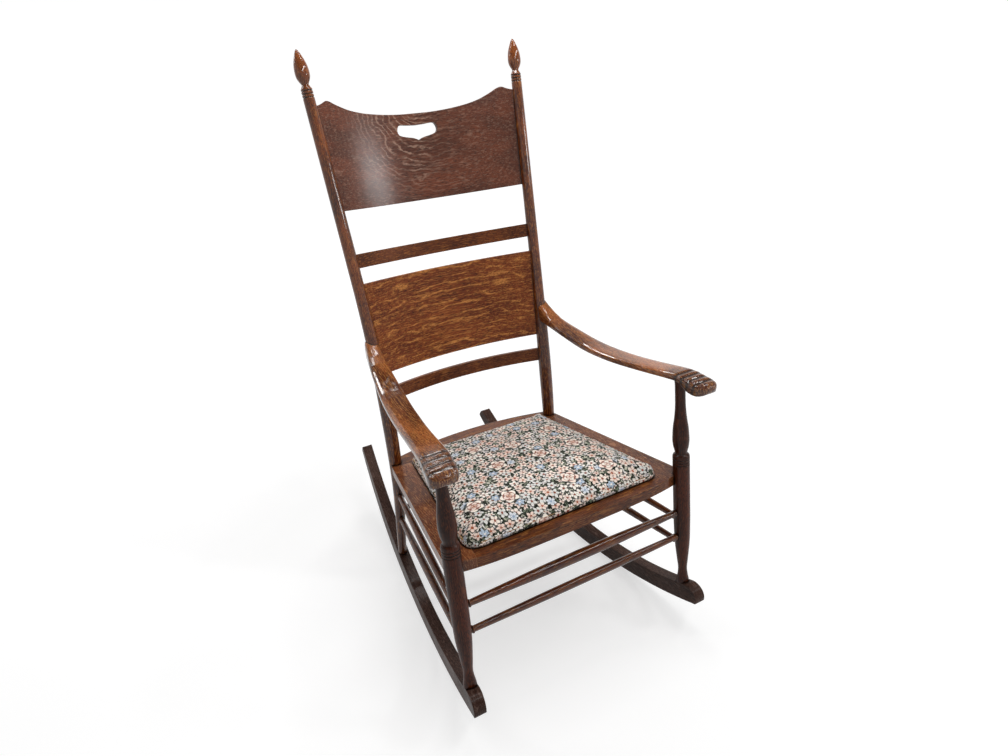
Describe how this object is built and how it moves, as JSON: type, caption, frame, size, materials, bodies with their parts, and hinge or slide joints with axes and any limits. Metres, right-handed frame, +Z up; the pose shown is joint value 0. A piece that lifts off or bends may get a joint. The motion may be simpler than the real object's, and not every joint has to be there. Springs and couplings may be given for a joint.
{
  "type": "rocking chair",
  "caption": "Bow rocking chair with turned posts, a bent slat back with a hand-hold in its crest, shaped arms with rolled noses and an upholstered seat pad.",
  "frame": {"origin": "middle of the chair's outline on the floor, under the seat", "axes": "+Z up, the chair faces -Y, +X to the sitter's left"},
  "size_m": [0.6114, 0.8222, 1.1414],
  "materials": {
    "oak": "gloss",
    "rocker_oak": "satin",
    "pad_board": "matte",
    "stuffing": "matte",
    "tapestry": "matte",
    "steel": "satin"
  },
  "bodies": {
    "root": {"rocker_left": "rocker_oak", "rocker_right": "rocker_oak", "front_post_left": "oak", "front_post_right": "oak", "back_post_left": "oak", "back_post_right": "oak", "crest_panel": "oak", "upper_slat": "oak", "back_panel": "oak", "lower_slat": "oak", "arm_left": "oak", "arm_right": "oak", "front_rail": "oak", "back_rail": "oak", "side_rail_left": "oak", "side_rail_right": "oak", "seat_board": "pad_board", "seat_padding": "stuffing", "seat_cover": "tapestry", "cover_tacks": "steel", "seat_screws": "steel", "front_stretcher_upper": "oak", "front_stretcher_lower": "oak", "side_stretcher_upper_left": "oak", "side_stretcher_upper_right": "oak", "side_stretcher_lower_left": "oak", "side_stretcher_lower_right": "oak", "back_stretcher": "oak", "arm_screws": "steel", "foot_screws": "steel"}
  },
  "joints": []
}
